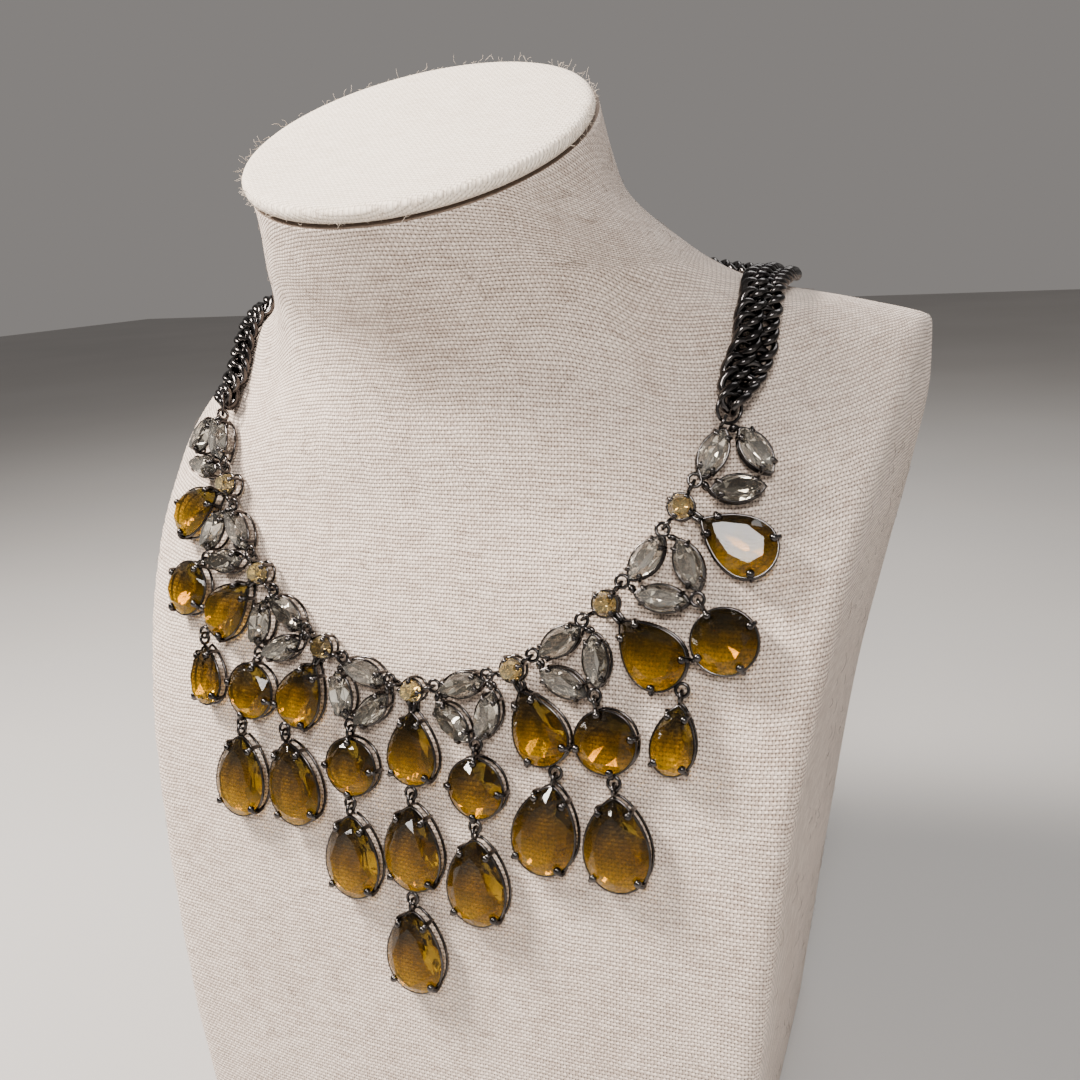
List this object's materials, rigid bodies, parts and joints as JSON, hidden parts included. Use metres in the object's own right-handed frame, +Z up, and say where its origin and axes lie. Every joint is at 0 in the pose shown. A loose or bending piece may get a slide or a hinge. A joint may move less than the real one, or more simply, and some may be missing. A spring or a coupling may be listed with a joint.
{
  "type": "bib necklace on a neck bust",
  "caption": "Bib necklace of amber pear and round stones and clear leaf stones in dark claw settings, on curb chains, shown on a linen-covered neck bust.",
  "frame": {"origin": "middle of the bust's flat base, half way between the front of the base and the flat back", "axes": "+Z up through the neck, -Y out of the front with the stones, +X to a viewer's right as they face the front"},
  "size_m": [0.177, 0.1069, 0.2357],
  "materials": {
    "linen": "coarse cream linen weave with slubs and stray fibres",
    "cap_linen": "finer cream cloth with a seam",
    "dark_metal": "polished black plating",
    "amber_glass": "polished facets, smoky brown to golden orange",
    "clear_glass": "polished facets, clear with a grey tint",
    "champagne_glass": "polished facets, pale gold"
  },
  "bodies": {
    "root": {"bust_body": "linen", "bust_cap": "cap_linen", "centre_drop_lower": "amber_glass", "centre_drop_upper": "amber_glass", "chain_left": "dark_metal", "chain_right": "dark_metal", "clasp": "dark_metal", "cluster_1_drop_left": "amber_glass", "cluster_1_drop_right": "amber_glass", "cluster_1_left": "clear_glass", "cluster_1_right": "clear_glass", "cluster_1_round_left": "amber_glass", "cluster_1_round_right": "amber_glass", "cluster_2_drop_left": "amber_glass", "cluster_2_drop_right": "amber_glass", "cluster_2_left": "clear_glass", "cluster_2_right": "clear_glass", "cluster_2_round_left": "amber_glass", "cluster_2_round_right": "amber_glass", "cluster_3_left": "clear_glass", "cluster_3_right": "clear_glass", "cluster_3_round_left": "amber_glass", "cluster_3_round_right": "amber_glass", "cluster_4_left": "clear_glass", "cluster_4_right": "clear_glass", "end_ring_left": "dark_metal", "end_ring_right": "dark_metal", "station_0": "amber_glass", "station_1_drop_left": "amber_glass", "station_1_drop_right": "amber_glass", "station_1_left": "amber_glass", "station_1_right": "amber_glass", "station_2_drop_left": "amber_glass", "station_2_drop_right": "amber_glass", "station_2_left": "amber_glass", "station_2_right": "amber_glass", "station_3_left": "amber_glass", "station_3_right": "amber_glass"}
  },
  "joints": []
}
